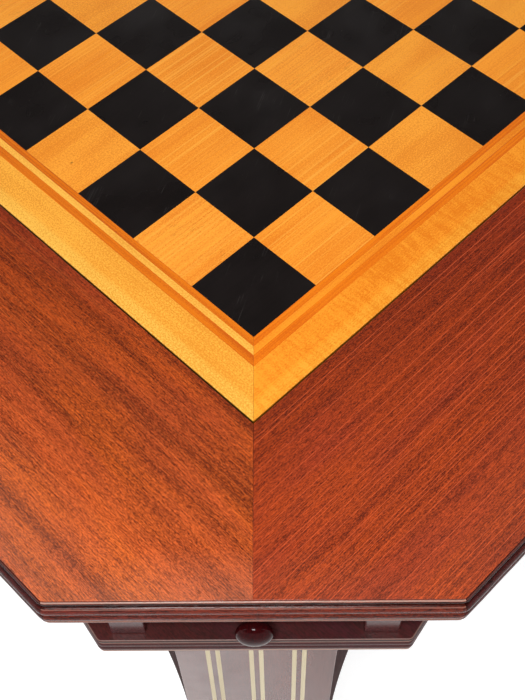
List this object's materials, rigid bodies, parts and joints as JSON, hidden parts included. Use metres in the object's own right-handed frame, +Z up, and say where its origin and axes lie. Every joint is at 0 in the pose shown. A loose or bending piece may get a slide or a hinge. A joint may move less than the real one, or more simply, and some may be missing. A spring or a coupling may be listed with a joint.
{
  "type": "gaming table",
  "caption": "Canted square games table with a lift-out chessboard over a baize-lined well, a lower tier with small corner drawers, and canted tapering legs.",
  "frame": {"origin": "on the floor under the middle of the table", "axes": "+Z up; the long sides face -Y (front), +X, +Y and -X, and the canted corners lie on the diagonals"},
  "size_m": [0.768, 0.768, 0.75],
  "materials": {
    "mahogany": "French-polished mahogany veneer, gloss",
    "dark_mahogany": "dark polished mahogany, gloss",
    "maple": "polished figured maple, gloss",
    "orange_veneer": "polished orange-brown veneer, gloss",
    "chequer_veneer": "ebonised and satinwood squares, gloss",
    "baize": "green wool baize",
    "drawer_wood": "plain waxed wood",
    "nylon": "brown moulded nylon"
  },
  "bodies": {
    "table": {"drawer_stop_back_left": "drawer_wood", "drawer_stop_back_right": "drawer_wood", "drawer_stop_front_left": "drawer_wood", "drawer_stop_front_right": "drawer_wood", "edge_moulding_back": "mahogany", "edge_moulding_back_left": "mahogany", "edge_moulding_back_right": "mahogany", "edge_moulding_front": "mahogany", "edge_moulding_front_left": "mahogany", "edge_moulding_front_right": "mahogany", "edge_moulding_left": "mahogany", "edge_moulding_right": "mahogany", "glide_back_left": "nylon", "glide_back_right": "nylon", "glide_front_left": "nylon", "glide_front_right": "nylon", "leg_back_left": "dark_mahogany", "leg_back_right": "dark_mahogany", "leg_front_left": "dark_mahogany", "leg_front_right": "dark_mahogany", "lower_tier": "dark_mahogany", "spacer_block_back_left_a": "dark_mahogany", "spacer_block_back_left_b": "dark_mahogany", "spacer_block_back_right_a": "dark_mahogany", "spacer_block_back_right_b": "dark_mahogany", "spacer_block_front_left_a": "dark_mahogany", "spacer_block_front_left_b": "dark_mahogany", "spacer_block_front_right_a": "dark_mahogany", "spacer_block_front_right_b": "dark_mahogany", "top_rail_back": "mahogany", "top_rail_front": "mahogany", "top_rail_left": "mahogany", "top_rail_right": "mahogany", "well_lining": "baize", "well_wall_back": "dark_mahogany", "well_wall_front": "dark_mahogany", "well_wall_left": "dark_mahogany", "well_wall_right": "dark_mahogany"},
    "game_board": {"board_baize": "baize", "board_core": "drawer_wood", "chequer_field": "chequer_veneer", "inlay_band_inner": "orange_veneer", "inlay_band_outer": "orange_veneer", "inlay_line": "maple", "maple_border_back": "maple", "maple_border_front": "maple", "maple_border_left": "maple", "maple_border_right": "maple"},
    "drawer_front_right": {"drawer_front_front_right": "dark_mahogany", "drawer_tray_front_right": "drawer_wood", "drawer_knob_front_right": "dark_mahogany"},
    "drawer_back_right": {"drawer_front_back_right": "dark_mahogany", "drawer_tray_back_right": "drawer_wood", "drawer_knob_back_right": "dark_mahogany"},
    "drawer_back_left": {"drawer_front_back_left": "dark_mahogany", "drawer_tray_back_left": "drawer_wood", "drawer_knob_back_left": "dark_mahogany"},
    "drawer_front_left": {"drawer_front_front_left": "dark_mahogany", "drawer_tray_front_left": "drawer_wood", "drawer_knob_front_left": "dark_mahogany"}
  },
  "joints": [
    {"name": "board_lift", "type": "slide", "parent": "table", "child": "game_board", "axis": [0, 0, 1], "range_m": [0, 0.15]},
    {"name": "drawer_front_right_slide", "type": "slide", "parent": "table", "child": "drawer_front_right", "axis": [0.7071, -0.7071, 0], "range_m": [0, 0.052]},
    {"name": "drawer_back_right_slide", "type": "slide", "parent": "table", "child": "drawer_back_right", "axis": [0.7071, 0.7071, 0], "range_m": [0, 0.052]},
    {"name": "drawer_back_left_slide", "type": "slide", "parent": "table", "child": "drawer_back_left", "axis": [-0.7071, 0.7071, 0], "range_m": [0, 0.052]},
    {"name": "drawer_front_left_slide", "type": "slide", "parent": "table", "child": "drawer_front_left", "axis": [-0.7071, -0.7071, 0], "range_m": [0, 0.052]}
  ]
}
